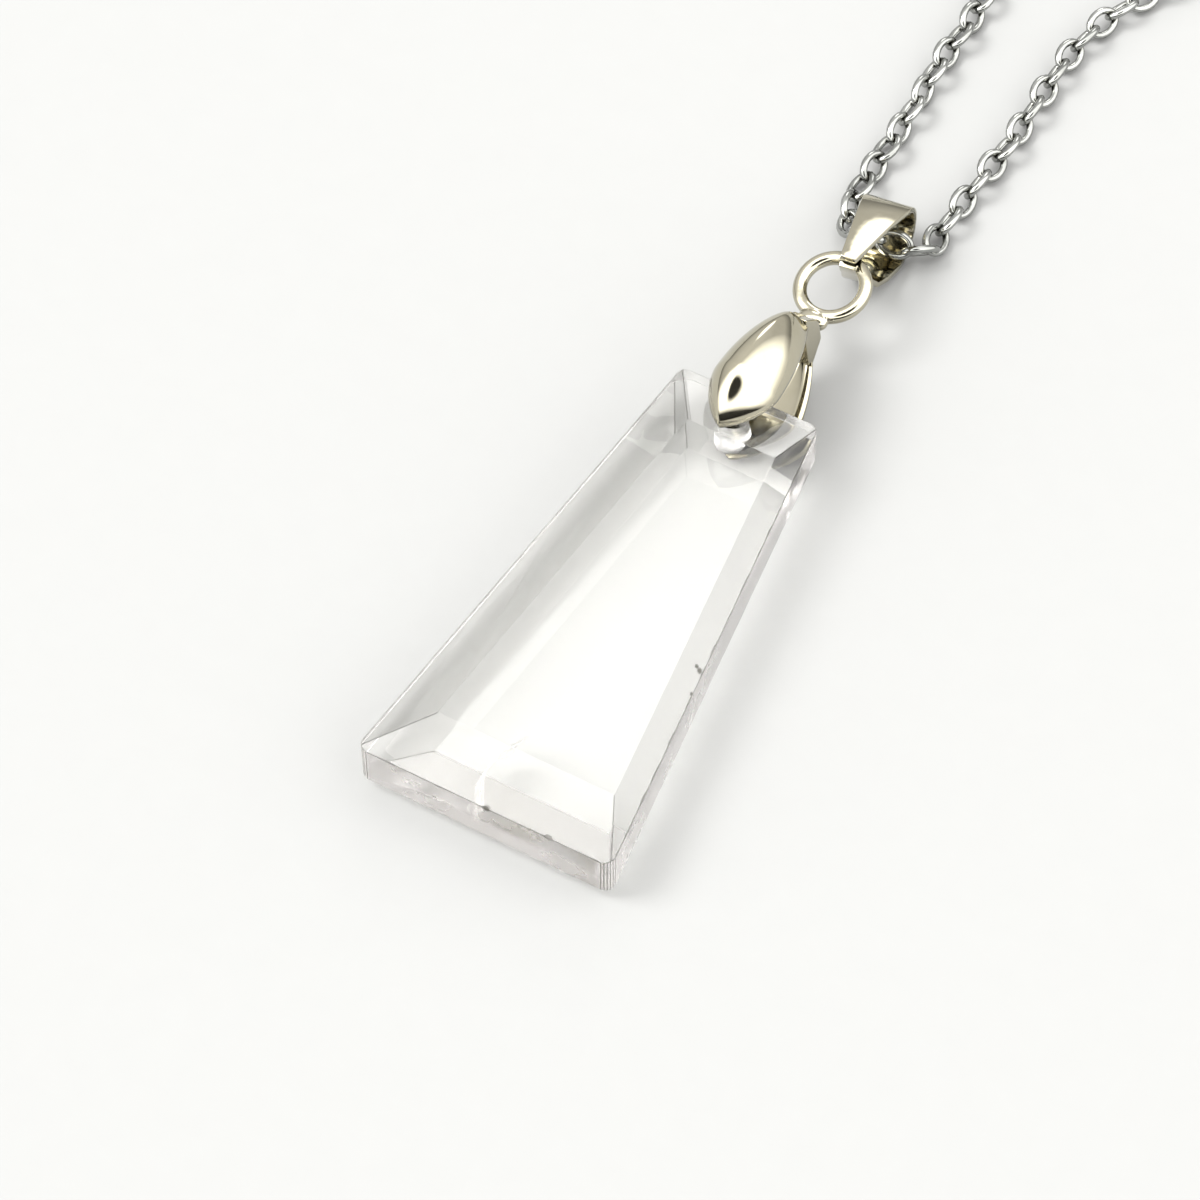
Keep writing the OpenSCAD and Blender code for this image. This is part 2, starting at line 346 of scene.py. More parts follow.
def bumped(tree, height, depth, under=None):
    """A bump of a known depth, over another one if there is one; gives the normal."""
    node = tree.nodes.new("ShaderNodeBump")
    node.inputs["Strength"].default_value = 1
    node.inputs["Distance"].default_value = depth
    tree.links.new(height, node.inputs["Height"])
    if under:
        tree.links.new(under, node.inputs["Normal"])
    return node.outputs["Normal"]


# Light that passes the stone on its way to the table: through the flat tables, through the
# slopes of the upper half, and through those of the half that lies under split_height
split_height = 0.003
split_blend = 0.0005
under_shade = (0.3, 0.3, 0.295)
upper_shade = (0.5, 0.5, 0.49)
flat_shade = (0.84, 0.84, 0.835)


def quartz(name, tint, rough_low, rough_high, smudge_scale, bump_depth, bump_scale):
    """Rock crystal: its tint, darkened as painted shade on all but the polished finish, its roughness from
    clean to dull spots, and the depth of its marks.
    """
    made = bpy.data.materials.new(name)
    made.use_nodes = True
    tree = made.node_tree
    nodes, links = tree.nodes, tree.links
    shader = nodes["Principled BSDF"]
    shader.inputs["Base Color"].default_value = (*tint, 1)
    shader.inputs["IOR"].default_value = 1.544
    shader.inputs["Transmission Weight"].default_value = 1
    smudges = noise_of(nodes, smudge_scale, 4, 0.6)
    links.new(remap(tree, smudges, 0.45, 0.75, rough_low, rough_high), shader.inputs["Roughness"])
    marks = noise_of(nodes, bump_scale, 3, 0.5)
    links.new(bumped(tree, marks, bump_depth), shader.inputs["Normal"])
    clear = nodes.new("ShaderNodeBsdfTransparent")
    surface = nodes.new("ShaderNodeNewGeometry")
    upright = nodes.new("ShaderNodeSeparateXYZ")
    links.new(surface.outputs["True Normal"], upright.inputs["Vector"])
    flat = nodes.new("ShaderNodeMath")
    flat.operation = "ABSOLUTE"
    links.new(upright.outputs["Z"], flat.inputs[0])
    place = nodes.new("ShaderNodeSeparateXYZ")
    links.new(nodes.new("ShaderNodeTexCoord").outputs["Object"], place.inputs["Vector"])
    high = remap(tree, place.outputs["Z"], split_height - split_blend, split_height + split_blend, 0, 1)
    slope = mixed(tree, high, under_shade, upper_shade)
    levelness = remap(tree, flat.outputs["Value"], 0.985, 0.997, 0, 1)
    links.new(mixed(tree, levelness, slope, flat_shade), clear.inputs["Color"])
    ray = nodes.new("ShaderNodeLightPath")
    mix = nodes.new("ShaderNodeMixShader")
    links.new(ray.outputs["Is Shadow Ray"], mix.inputs["Fac"])
    links.new(shader.outputs["BSDF"], mix.inputs[1])
    links.new(clear.outputs["BSDF"], mix.inputs[2])
    links.new(mix.outputs["Shader"], nodes["Material Output"].inputs["Surface"])
    return made


dirt = (0.02, 0.018, 0.012)


def fleck(made, at, size):
    """Puts a small dark speck of dirt on a finish, at a place of the stone in millimetres."""
    tree = made.node_tree
    colour = tree.nodes["Principled BSDF"].inputs["Base Color"]
    apart = tree.nodes.new("ShaderNodeVectorMath")
    apart.operation = "DISTANCE"
    apart.inputs[1].default_value = mm * (stone_place @ Vector(at))
    tree.links.new(tree.nodes.new("ShaderNodeTexCoord").outputs["Object"], apart.inputs[0])
    near = remap(tree, apart.outputs["Value"], mm * size / 2, mm * size, 1, 0)
    clean = colour.links[0].from_socket if colour.links else tuple(colour.default_value)[:3]
    tree.links.new(mixed(tree, near, clean, dirt), colour)


polished = quartz("polished_quartz", (0.995, 0.992, 0.985), 0.0, 0.02, 90, 0.0000004, 900)
# Painted shade: the broken faces and the drilled wall are tinted near black, for the dark line that the
# chipped rims show by refraction
broken = quartz("broken_quartz", (0.12, 0.118, 0.11), 0.3, 0.5, 700, 0.00001, 2500)
broken.node_tree.nodes["Principled BSDF"].inputs["Specular IOR Level"].default_value = 0.2
# Painted shade: the ground foot, the bevels and the back bevels are tinted darker than clear quartz, for the
# light that refraction keeps from them; the ground faces' tint is also their own pinkish tone
ground = quartz("ground_quartz", (0.57, 0.545, 0.54), 0.2, 0.36, 150, 0.000003, 700)
bevelled = quartz("bevelled_quartz", (0.9, 0.897, 0.882), 0.01, 0.05, 120, 0.0000006, 700)
back_bevelled = quartz("back_quartz", (0.86, 0.845, 0.835), 0.3, 0.45, 120, 0.0000002, 700)
# Painted shade: the right front bevel's glass is tinted to half brightness, for the darker light that the
# stone's refraction leaves under that side
shaded_right_bevel = quartz("shaded_right_bevel_quartz", (0.5, 0.497, 0.485), 0.03, 0.08, 120, 0.0000006, 700)

# One speck sits on the foot's front rim, where three finishes meet, and three on the right bevel
for finish in (broken, bevelled, ground):
    fleck(finish, (0.3, -half_l, girdle_t / 2), 0.36)
fleck(shaded_right_bevel, (7.63, -2.81, 1.94), 0.3)
fleck(shaded_right_bevel, (7.35, -2.7, 2.15), 0.22)
fleck(shaded_right_bevel, (8.05, -4.6, 1.85), 0.24)
finish_piece(stone, stone_place, (polished, broken, ground, bevelled, back_bevelled, shaded_right_bevel), "stone")

# A natural veil: a bowed sheet of healed crack that stands in the quartz behind the dark speck
veil_rows = 24
veil_cols = 12
veil_t = 0.02
veil_middle = -15.9
veil_reach = 2.75
veil_x = -0.35
veil_bow = 1.1
veil_lean = 0.25
veil_ripple = 0.08
ripple_pitch = 1.3
veil = bmesh.new()
veil_sheets = []
for push in (-veil_t / 2, veil_t / 2):
    sheet = []
    for i in range(veil_rows + 1):
        part = 2 * i / veil_rows - 1
        y = veil_middle + veil_reach * part
        top, low = 2 + 0.5 * part, -1.2 - 0.4 * part
        row = []
        for k in range(veil_cols + 1):
            z = low + (top - low) * k / veil_cols
            ripple = veil_ripple * noise.noise(Vector((y, z, 0)) * ripple_pitch)
            x = veil_x - veil_bow * (1 - part * part) + veil_lean * z + ripple
            row.append(veil.verts.new((x + push, y, z)))
        sheet.append(row)
    veil_sheets.append(sheet)
veil_edge = [(0, k) for k in range(veil_cols)] + [(i, veil_cols) for i in range(veil_rows)]
veil_edge += [(veil_rows, k) for k in range(veil_cols, 0, -1)] + [(i, 0) for i in range(veil_rows, 0, -1)]
left_sheet, right_sheet = veil_sheets
for sheet, order in ((left_sheet, 1), (right_sheet, -1)):
    for i in range(veil_rows):
        for k in range(veil_cols):
            patch_corners = [sheet[i][k], sheet[i + 1][k], sheet[i + 1][k + 1], sheet[i][k + 1]]
            veil.faces.new(patch_corners[::order])
for (i, k), (p, q) in zip(veil_edge, veil_edge[1:] + veil_edge[:1]):
    veil.faces.new((left_sheet[i][k], left_sheet[p][q], right_sheet[p][q], right_sheet[i][k]))
bmesh.ops.recalc_face_normals(veil, faces=veil.faces)
for f in veil.faces:
    f.smooth = True
stone_veil = new_mesh_object("stone_veil", veil)
misty = bpy.data.materials.new("misty_veil")
misty.use_nodes = True
misty_shader = misty.node_tree.nodes["Principled BSDF"]
misty_shader.inputs["Base Color"].default_value = (0.8, 0.79, 0.78, 1)
misty_shader.inputs["Roughness"].default_value = 0.35
wisps = noise_of(misty.node_tree.nodes, 700, 4, 0.6)
misty.node_tree.links.new(remap(misty.node_tree, wisps, 0.4, 0.65, 0.04, 0.5), misty_shader.inputs["Alpha"])
finish_piece(stone_veil, stone_place, (misty,), "stone")

# Pinch bail
# Two cast leaves hold the stone between them, each with a short prong in the drilled hole.
# They are one piece with their neck, and the ring is soldered on; all of it is plated.
leaf_len = 10.8
leaf_w = 5.15
leaf_t = 0.7
leaf_neck = 1.91
leaf_tip = 1.68
widest_y = 2.03
front_dome = 2.62
back_dome = 0.75
neck_dome = 0.88
tip_low = 2.95
neck_low = 1.8
rim_t = 0.36
rim_curve = 3.2
keel_left = 1.87
keel_right = 1.59
keel_shift = 0.21
arch_end = math.radians(72)
tip_round = 1.63
tip_blunt = 0.75
neck_swell = 0.44
bail_slack = Vector((0.05, 0.12, 0.15))
bail_place = (
    stone_place
    @ Matrix.Translation(Vector((hole_x, half_l - hole_inset, 0)) + bail_slack)
    @ Matrix.Rotation(math.radians(-1.6), 4, "Z")
    @ Matrix.Rotation(math.radians(-6.6), 4, "Y")
    @ Matrix.Rotation(math.radians(1.8), 4, "X")
)


def arc_radius(half_chord, height):
    """Radius of the arc whose height over a half chord is known."""
    return (half_chord * half_chord + height * height) / (2 * height)


leaf_end = leaf_len - leaf_tip
upper_r = arc_radius(leaf_end - widest_y, (leaf_w - leaf_neck) / 2)


def leaf_section(y, dome_h):
    """A leaf's section at y: half its width, the height of its dome, and the level of its rim."""
    if y > widest_y:
        half = leaf_w / 2 - upper_r + math.sqrt(upper_r * upper_r - (y - widest_y) ** 2)
        part = (half - leaf_neck / 2) / (leaf_w - leaf_neck) * 2
        dome = neck_dome + (dome_h - neck_dome) * max(part, 0) ** neck_swell
    else:
        toward_tip = (widest_y - y) / (widest_y + leaf_tip)
        half = leaf_w / 2 * max(1 - toward_tip ** tip_round, 0.0004) ** tip_blunt
        dome = dome_h * 2 * half / leaf_w
    rim = tip_low - (tip_low - neck_low) * ((y + leaf_tip) / leaf_len) ** rim_curve
    return half, dome, rim


def keeled_arch(half, dome, angle):
    """A point of the domed section, which has a soft ridge a little to the left of its middle."""
    across = math.sin(angle) / math.sin(arch_end)
    power = 2 / (keel_right if across > 0 else keel_left)
    spring = math.cos(arch_end) ** power
    up = max(math.cos(angle) ** power - spring, 0) / (1 - spring)
    lean = -keel_shift * 2 * half / leaf_w * up
    return half * math.copysign(abs(across) ** power, across) + lean, dome * up


thin_tip = 0.3
leaf_steps = 110
arch_steps = 56
hollow_steps = 24


def leaf_mesh(mesh, place, dome_h):
    """One leaf: closed sections from its tip to its neck, each an arch, two rims and a hollow."""
    rings = []
    for i in range(leaf_steps + 1):
        y = -leaf_tip + leaf_len * (1 - math.cos(math.pi * i / leaf_steps)) / 2
        half, dome, rim = leaf_section(y, dome_h)
        hollow = max(half - leaf_t, 0.01)
        narrowing = min(hollow / max(half - thin_tip, 0.1), 1)
        hollow_h = max(dome + rim_t - leaf_t, 0.01) * narrowing
        lip = min(0.06, half / 3)
        section = []
        for k in range(arch_steps + 1):
            x, z = keeled_arch(half, dome, arch_end * (2 * k / arch_steps - 1))
            section.append((x, rim + rim_t + z))
        section += [(half, rim + lip), (half - lip, rim)]
        for k in range(hollow_steps + 1):
            x, z = keeled_arch(hollow, hollow_h, arch_end * (1 - 2 * k / hollow_steps))
            section.append((x, rim + z))
        section += [(lip - half, rim), (-half, rim + lip)]
        rings.append([mesh.verts.new(place @ Vector((x, y, z))) for x, z in section])
    count = len(rings[0])
    for near, far in zip(rings, rings[1:]):
        for k in range(count):
            n = (k + 1) % count
            mesh.faces.new((near[k], near[n], far[n], far[k]))
    mesh.faces.new(rings[0])
    mesh.faces.new(rings[-1][::-1])


def lathe(mesh, profile, place, count):
    """Turns a profile of radius and height about the upright axis; it starts and ends on the axis."""
    rings = []
    for r, z in profile[1:-1]:
        ring = []
        for k in range(count):
            a = 2 * math.pi * k / count
            ring.append(mesh.verts.new(place @ Vector((r * math.cos(a), r * math.sin(a), z))))
        rings.append(ring)
    low = mesh.verts.new(place @ Vector((0, 0, profile[0][1])))
    high = mesh.verts.new(place @ Vector((0, 0, profile[-1][1])))
    for k in range(count):
        n = (k + 1) % count
        mesh.faces.new((low, rings[0][n], rings[0][k]))
        for a, b in zip(rings, rings[1:]):
            mesh.faces.new((a[k], a[n], b[n], b[k]))
        mesh.faces.new((high, rings[-1][k], rings[-1][n]))


leaves = bmesh.new()
prong_r = 0.65
prong_foot = 0.2
tip_steps = [math.radians(a) for a in (0, 25, 50, 70, 90)]
leaf_at = Matrix.Translation((0.18, 0.15, 0))
for face, dome_h, prong_top in ((1, front_dome, 4.1), (-1, back_dome, 3.4)):
    prong_profile = [(prong_r * math.sin(a), prong_foot + prong_r * (1 - math.cos(a))) for a in tip_steps]
    prong_profile += [(prong_r, prong_top), (0, prong_top)]
    flip = Matrix.Diagonal((1, 1, face, 1))
    leaf_mesh(leaves, flip @ leaf_at, dome_h)
    lathe(leaves, prong_profile, flip, 24)
bmesh.ops.recalc_face_normals(leaves, faces=leaves.faces)
for f in leaves.faces:
    f.smooth = True
for e in leaves.edges:
    e.smooth = e.calc_face_angle(0) < math.radians(50)
leaf_pair = new_mesh_object("pinch_bail_leaves", leaves)

# The neck and the ring are cast and soldered: every join between them is a soft fillet
ring_reach = 14.6
ring_r = 2.38
ring_wire = 1.04
ring_pitch = math.radians(11)
solder_r = 0.9
solder_shape = Matrix.Diagonal((1.3, 0.85, 0.8, 1))
neck_w = 1.8
neck_back = 0.4
neck_end = 1.6
neck_half = 2.3
neck_in = 1.7
neck_top = 0.9
neck_front = 2.75
neck_high = 1.5
neck_step = 1.3
neck_lip = 0.1
casting_voxel = 0.055
casting = bmesh.new()
neck_profile = [
    (leaf_end - neck_back, -neck_in), (leaf_end, -neck_half), (leaf_end + neck_end, -neck_top),
    (leaf_end + neck_end, neck_top), (leaf_end + neck_step, neck_high), (leaf_end + neck_lip, neck_front),
    (leaf_end - neck_back, neck_in),
]
near_side = [casting.verts.new(leaf_at @ Vector((-neck_w / 2, y, z))) for y, z in neck_profile]
far_side = [casting.verts.new(leaf_at @ Vector((neck_w / 2, y, z))) for y, z in neck_profile]
casting.faces.new(near_side)
casting.faces.new(far_side[::-1])
for k in range(len(neck_profile)):
    n = (k + 1) % len(neck_profile)
    casting.faces.new((near_side[n], near_side[k], far_side[k], far_side[n]))


def torus(mesh, place, big_r, small_r, around, across):
    """A closed ring of round wire."""
    rings = []
    for i in range(around):
        a = 2 * math.pi * i / around
        ring = []
        for k in range(across):
            b = 2 * math.pi * k / across
            r = big_r + small_r * math.cos(b)
            at = Vector((r * math.cos(a), r * math.sin(a), small_r * math.sin(b)))
            ring.append(mesh.verts.new(place @ at))
        rings.append(ring)
    for i in range(around):
        near, far = rings[i], rings[(i + 1) % around]
        for k in range(across):
            n = (k + 1) % across
            mesh.faces.new((near[k], far[k], far[n], near[n]))


ring_place = Matrix.Translation((0, ring_reach, 0)) @ Matrix.Rotation(ring_pitch, 4, "X")
torus(casting, ring_place, ring_r, ring_wire / 2, 96, 32)
solder_at = ring_place @ Matrix.Translation((-0.1, -ring_r - ring_wire / 2, 0.05))
bmesh.ops.create_icosphere(casting, subdivisions=4, radius=solder_r, matrix=solder_at @ solder_shape)
bmesh.ops.recalc_face_normals(casting, faces=casting.faces)
bail_ring = new_mesh_object("pinch_bail_ring", casting)
melt = bail_ring.modifiers.new("melt", "REMESH")
melt.mode = "VOXEL"
melt.voxel_size = casting_voxel
fillet = bail_ring.modifiers.new("fillet", "SMOOTH")
fillet.factor = 0.5
fillet.iterations = 9
bake_modifiers(bail_ring)

# Two casting pits on the ring's left: the place, size and depth of each
pits = [(Vector((-1.72, 12.62, 0.42)), 0.16, 0.12), (Vector((-1.32, 12.28, 0.34)), 0.14, 0.1)]
for v in bail_ring.data.vertices:
    for at, size, depth in pits:
        near = (v.co - at).length / size
        if near < 1:
            v.co -= v.normal * depth * (1 - near * near)
for f in bail_ring.data.polygons:
    f.use_smooth = True


# Painted shade: the colour darkens to near black in crevices and close to other surfaces, by ambient
# occlusion; polishing leaves fine strokes along the piece
crevice_shade = (0.05, 0.047, 0.03)
crevice_reach = 0.001
stroke_stretch = (1, 0.05, 0.6)
stroke_depth = 0.0000012


def plated(name, bright, dull, rough_low, rough_high, ripple, ripple_scale):
    """Bright plated metal: its bright and dull colours, painted shade in its crevices, its roughness, and
    how deep its ripples are.
    """
    made = bpy.data.materials.new(name)
    made.use_nodes = True
    tree = made.node_tree
    nodes, links = tree.nodes, tree.links
    shader = nodes["Principled BSDF"]
    shader.inputs["Metallic"].default_value = 1
    clouds = noise_of(nodes, 260, 4, 0.6)
    clean = mixed(tree, remap(tree, clouds, 0.35, 0.75, 0, 1), bright, dull)
    # Painted shade: where other surfaces are near, the base colour blends to the dark crevice colour
    crevice = nodes.new("ShaderNodeAmbientOcclusion")
    crevice.samples = 8
    crevice.inputs["Distance"].default_value = crevice_reach
    openness = remap(tree, crevice.outputs["AO"], 0.3, 0.85, 0, 1)
    links.new(mixed(tree, openness, crevice_shade, clean), shader.inputs["Base Color"])
    wear = noise_of(nodes, 1400, 5, 0.65)
    links.new(remap(tree, wear, 0.35, 0.7, rough_low, rough_high), shader.inputs["Roughness"])
    brushed = bumped(tree, noise_of(nodes, 5000, 3, 0.6, stroke_stretch), stroke_depth)
    waves = noise_of(nodes, ripple_scale, 2, 0.4)
    links.new(bumped(tree, waves, ripple, brushed), shader.inputs["Normal"])
    return made


nickel = plated("warm_nickel", (0.5, 0.47, 0.37), (0.44, 0.41, 0.31), 0.05, 0.12, 0.000004, 500)
finish_piece(leaf_pair, bail_place, (nickel,), "pinch_bail")
finish_piece(bail_ring, bail_place, (nickel,), "pinch_bail")

# Snap bail
# A tapered strip of thin sheet, folded over the chain and pinched shut over the ring.
# It is stamped, bent round a mandrel and plated like the pinch bail.
fold_d = 4.9
strip_t = 0.42
fold_w = 3.7
end_w = 1.2
flap_len = 7.9
front_tip = 1.1
fold_r = fold_d / 2
strip_bevel = 0.07
fold_place = (
    Matrix.Translation((-0.45, -60.2, 2.6))
    @ Matrix.Rotation(math.radians(4), 4, "Z")
    @ Matrix.Rotation(math.radians(-27), 4, "X")
    @ Matrix.Rotation(math.radians(-3.5), 4, "Y")
)
flap_bow = 0.3
flap_steps = 12
strip_line = []
for k in range(flap_steps):
    part = k / flap_steps
    height = front_tip + (fold_r - front_tip) * part + flap_bow * 4 * part * (1 - part) * part
    strip_line.append(Vector((-flap_len * (1 - part), height)))
for k in range(37):
    a = math.radians(90 - 5 * k)
    strip_line.append(Vector((fold_r * math.cos(a), fold_r * math.sin(a))))
back_line = [
    (-1.6, -2.8), (-3.2, -2.75), (-4.4, -2.1), (-5.4, -1.35), (-6.3, -0.85), (-7, -0.35), (-7.6, 0.1),
]
strip_line += [Vector(p) for p in back_line]

strip = bmesh.new()
stations = []
for k, p in enumerate(strip_line):
    along = (strip_line[min(k + 1, len(strip_line) - 1)] - strip_line[max(k - 1, 0)]).normalized()
    inward = Vector((along.y, -along.x))
    q = p + inward * strip_t
    station = []
    for point in (p, q):
        half = fold_w / 2 + min(point.x, 0) / flap_len * (fold_w - end_w) / 2
        station.append([strip.verts.new((x, point.x, point.y)) for x in (-half, half)])
    stations.append(station)
for (out_a, in_a), (out_b, in_b) in zip(stations, stations[1:]):
    strip.faces.new((out_a[0], out_a[1], out_b[1], out_b[0]))
    strip.faces.new((in_a[1], in_a[0], in_b[0], in_b[1]))
    strip.faces.new((out_a[1], in_a[1], in_b[1], out_b[1]))
    strip.faces.new((in_a[0], out_a[0], out_b[0], in_b[0]))
for outer, inner in (stations[0], stations[-1]):
    strip.faces.new((outer[0], inner[0], inner[1], outer[1]))
bmesh.ops.recalc_face_normals(strip, faces=strip.faces)
strip_edges = [e for e in strip.edges if e.calc_face_angle(0) > math.radians(50)]
bmesh.ops.bevel(strip, geom=strip_edges, offset=strip_bevel, segments=3, profile=0.5, affect="EDGES")
for f in strip.faces:
    f.smooth = True
snap_bail = new_mesh_object("snap_bail_strip", strip)
finish_piece(snap_bail, fold_place, (nickel,), "snap_bail")

# Chain
# Fine cable chain: oval links of round steel wire, each one turned a quarter from the last
# and leaning on the table. It runs from the clasp down the right strand, through the snap
# bail and back up the left.
flat_z = 1.05
route = [
    (7.9, 116.2, flat_z), (19.5, 113.4, flat_z), (31, 107.9, flat_z), (41, 99.6, flat_z),
    (48.6, 89.7, flat_z), (53.4, 78.4, flat_z), (55.2, 66.2, flat_z), (54, 54, flat_z),
    (50.2, 43.5, flat_z), (43.4, 32.5, flat_z), (36.4, 21.5, flat_z), (29.5, 10.2, flat_z),
    (22.6, -1, flat_z), (16.3, -12, flat_z), (10.2, -22, flat_z),
    (7, -27, flat_z), (4.8, -31.5, flat_z), (3.7, -36, flat_z), (3.5, -41, flat_z),
    (3.5, -46, flat_z), (3.2, -50.5, flat_z), (2.9, -54.5, flat_z), (2.8, -57.2, flat_z),
    (2.9, -58.6, 1.3), (2.2, -59.8, 1.8), (0.8, -60.2, 2.1), (-0.6, -60.3, 2.1), (-2, -60.4, 2),
    (-3.1, -59.8, 1.6), (-3.8, -58.5, 1.1), (-4.2, -56, flat_z),
    (-4.2, -52, flat_z), (-4.3, -47, flat_z), (-4.5, -42, flat_z), (-4.4, -37, flat_z),
    (-5, -32, flat_z), (-7.1, -27, flat_z), (-10.3, -22, flat_z), (-16.3, -12, flat_z),
    (-22.6, -1, flat_z), (-29.5, 10.2, flat_z), (-36.4, 21.5, flat_z), (-43.4, 32.5, flat_z),
    (-50.2, 43.5, flat_z), (-54, 54, flat_z), (-55.2, 66.2, flat_z), (-53.4, 78.4, flat_z),
    (-48.6, 89.7, flat_z), (-41, 99.6, flat_z), (-31, 107.9, flat_z), (-19.5, 113.4, flat_z),
    (-7.9, 116.2, flat_z),
]
link_len = 3.12
link_w = 2.2
link_wire = 0.56
link_step = 2.08
link_lean = 38
link_sway = 9
link_aim = 0.9
link_drop = Vector((0, 0, 0.05))
link_points = 20
wire_points = 10


def along_route(points, fine):
    """The smooth curve through the points, in many short steps, with the run so far at each."""
    points = [Vector(p) for p in points]
    count = len(points)
    line = []
    for i in range(count - 1):
        a, b = points[max(i - 1, 0)], points[i]
        c, d = points[i + 1], points[min(i + 2, count - 1)]
        for k in range(fine):
            t = k / fine
            bend = (2 * a - 5 * b + 4 * c - d) * t * t + (3 * b - a - 3 * c + d) * t ** 3
            line.append(0.5 * (2 * b + (c - a) * t + bend))
    line.append(points[-1])
    run = [0]
    for a, b in zip(line, line[1:]):
        run.append(run[-1] + (b - a).length)
    return line, run


chain_line, chain_run = along_route(route, 24)


def spot(s):
    """The place on the chain's route at a run of s."""
    s = min(max(s, 0), chain_run[-1])
    low, high = 0, len(chain_run) - 1
    while high - low > 1:
        middle = (low + high) // 2
        if chain_run[middle] > s:
            high = middle
        else:
            low = middle
    part = (s - chain_run[low]) / (chain_run[high] - chain_run[low])
    return chain_line[low].lerp(chain_line[high], part)


def link_mesh(mesh, place):
    """One oval link, swept from round wire."""
    a, b = (link_len - link_wire) / 2, (link_w - link_wire) / 2
    rings = []
    for i in range(link_points):
        t = 2 * math.pi * i / link_points
        p = Vector((a * math.cos(t), b * math.sin(t), 0))
        out = Vector((b * math.cos(t), a * math.sin(t), 0)).normalized()
        ring = []
        for k in range(wire_points):
            u = 2 * math.pi * k / wire_points
            offset = out * math.cos(u) + Vector((0, 0, math.sin(u)))
            ring.append(mesh.verts.new(place @ (p + offset * link_wire / 2)))
        rings.append(ring)
    for i in range(link_points):
        near, far = rings[i], rings[(i + 1) % link_points]
        for k in range(wire_points):
            n = (k + 1) % wire_points
            mesh.faces.new((near[k], far[k], far[n], near[n]))


links = bmesh.new()
sway = random.Random(5)
link_count = int(chain_run[-1] / link_step) + 1
first_link = (chain_run[-1] - (link_count - 1) * link_step) / 2
for i in range(link_count):
    s = first_link + i * link_step
    here = spot(s)
    ahead = (spot(s + link_aim) - spot(s - link_aim)).normalized()
    side = ahead.cross(Vector((0, 0, 1))).normalized()
    over = side.cross(ahead)
    roll = math.radians(link_lean + 90 * (i % 2) + sway.uniform(-link_sway, link_sway))
    across = side * math.cos(roll) + over * math.sin(roll)
    face = ahead.cross(across)
    turned = Matrix((ahead, across, face)).transposed().to_4x4()
    link_mesh(links, Matrix.Translation(here - link_drop) @ turned)
for f in links.faces:
    f.smooth = True
chain = new_mesh_object("chain_links", links)
steel = plated("cool_steel", (0.43, 0.437, 0.42), (0.22, 0.225, 0.215), 0.08, 0.2, 0.000006, 1500)
finish_piece(chain, Matrix(), (steel,), "chain")

# Clasp
# The clasp is out of the picture: a plain stamped oval of the chain's steel, with an eye at
# each end for the chain's last link, stands for it.
clasp_y = 116.2
clasp_z = 0.15
clasp_len = 11
clasp_w = 3.8
clasp_t = 1.8
clasp_wall = 1.1
eye_d = 2.5
eye_hole = 1.3
eye_x = clasp_len / 2 + eye_d / 2 - 0.4
clasp_wear = 0.3


def long_loop(length, width, count):
    """Outline of a flat shape with two round ends."""
    r = width / 2
    loop = []
    for side in (1, -1):
        for k in range(count + 1):
            a = math.radians(-90 + 180 * k / count)
            loop.append(Vector((side * ((length - width) / 2 + r * math.cos(a)), side * r * math.sin(a))))
    return loop


def frame_mesh(mesh, outer, inner, thick, wear, at):
    """A flat frame between two outlines, with worn edges."""
    rings = []
    for loop, sign in ((outer, -1), (inner, 1)):
        count = len(loop)
        for z, inset in ((wear, 0), (0.3 * wear, 0.3 * wear), (0, wear)):
            ring = []
            for k in range(count):
                normal = loop[(k + 1) % count] - loop[k - 1]
                normal = Vector((normal.y, -normal.x)).normalized()
                p = loop[k] + normal * inset * sign
                ring.append((p, z))
            rings.append(ring)
    outer_low, inner_low = rings[:3], rings[3:]
    loops = [*outer_low[::-1], *[[(p, thick - z) for p, z in ring] for ring in outer_low]]
    loops += [*[[(p, thick - z) for p, z in ring] for ring in inner_low[::-1]], *inner_low]
    made = [[mesh.verts.new(at + Vector((p.x, p.y, z))) for p, z in ring] for ring in loops]
    for a, b in zip(made, made[1:] + made[:1]):
        for k in range(len(a)):
            n = (k + 1) % len(a)
            mesh.faces.new((a[k], a[n], b[n], b[k]))


clasp_mesh = bmesh.new()
frame_mesh(
    clasp_mesh,
    long_loop(clasp_len, clasp_w, 20),
    long_loop(clasp_len - 2 * clasp_wall, clasp_w - 2 * clasp_wall, 20),
    clasp_t, clasp_wear, Vector((0, clasp_y, clasp_z)),
)
for side in (1, -1):
    ring_at = Matrix.Translation((side * eye_x, clasp_y, clasp_z + clasp_t / 2))
    torus(clasp_mesh, ring_at, (eye_d + eye_hole) / 4, (eye_d - eye_hole) / 4, 32, 16)
bmesh.ops.recalc_face_normals(clasp_mesh, faces=clasp_mesh.faces)
for f in clasp_mesh.faces:
    f.smooth = True
clasp = new_mesh_object("clasp_body", clasp_mesh)
finish_piece(clasp, Matrix(), (steel,), "clasp")

# Table and light
# A plain pale table in a tent: white cloth in front and overhead, grey walls at the left
# and the back, a window at the left and a bright card behind. The room under the camera,
# the line of the horizon and the lens itself are dark.
table_size = 8
table = bmesh.new()
bmesh.ops.create_grid(table, x_segments=1, y_segments=1, size=table_size / 2)
floor = new_mesh_object("table_top", table)
floor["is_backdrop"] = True
pale = bpy.data.materials.new("pale_table")
pale.use_nodes = True
pale_shader = pale.node_tree.nodes["Principled BSDF"]
pale_shader.inputs["Roughness"].default_value = 0.8
pale_shader.inputs["Specular IOR Level"].default_value = 0.2
grain = noise_of(pale.node_tree.nodes, 400, 3, 0.6)
shades = mixed(pale.node_tree, grain, (0.31, 0.313, 0.312), (0.318, 0.321, 0.32))
pale.node_tree.links.new(shades, pale_shader.inputs["Base Color"])
floor.data.materials.append(pale)

